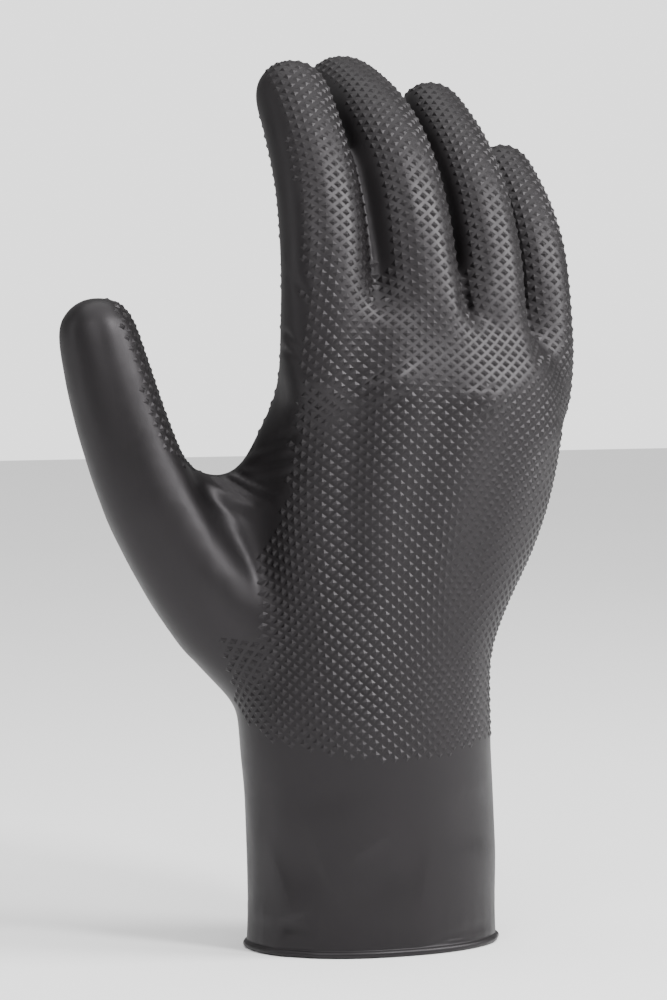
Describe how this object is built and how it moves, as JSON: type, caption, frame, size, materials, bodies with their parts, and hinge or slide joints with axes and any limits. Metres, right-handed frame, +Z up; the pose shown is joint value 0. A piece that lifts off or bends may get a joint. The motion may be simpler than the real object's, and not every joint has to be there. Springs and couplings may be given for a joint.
{
  "type": "nitrile grip glove",
  "caption": "Disposable nitrile glove for a right hand, filled as a hand fills it: curled fingers, thumb held out, straight cuff open at a rolled bead.",
  "frame": {"origin": "middle of the cuff's open mouth, in the plane of the rolled bead's underside, where the wrist goes in", "axes": "+Z up the hand towards the fingertips, +X across the hand towards the little finger, +Y from the back of the hand towards the palm"},
  "size_m": [0.1481, 0.0732, 0.2459],
  "materials": {
    "nitrile": "satin black nitrile film with a raised diamond grip on the back and palm"
  },
  "bodies": {
    "root": {"glove_film": "nitrile"}
  },
  "joints": []
}
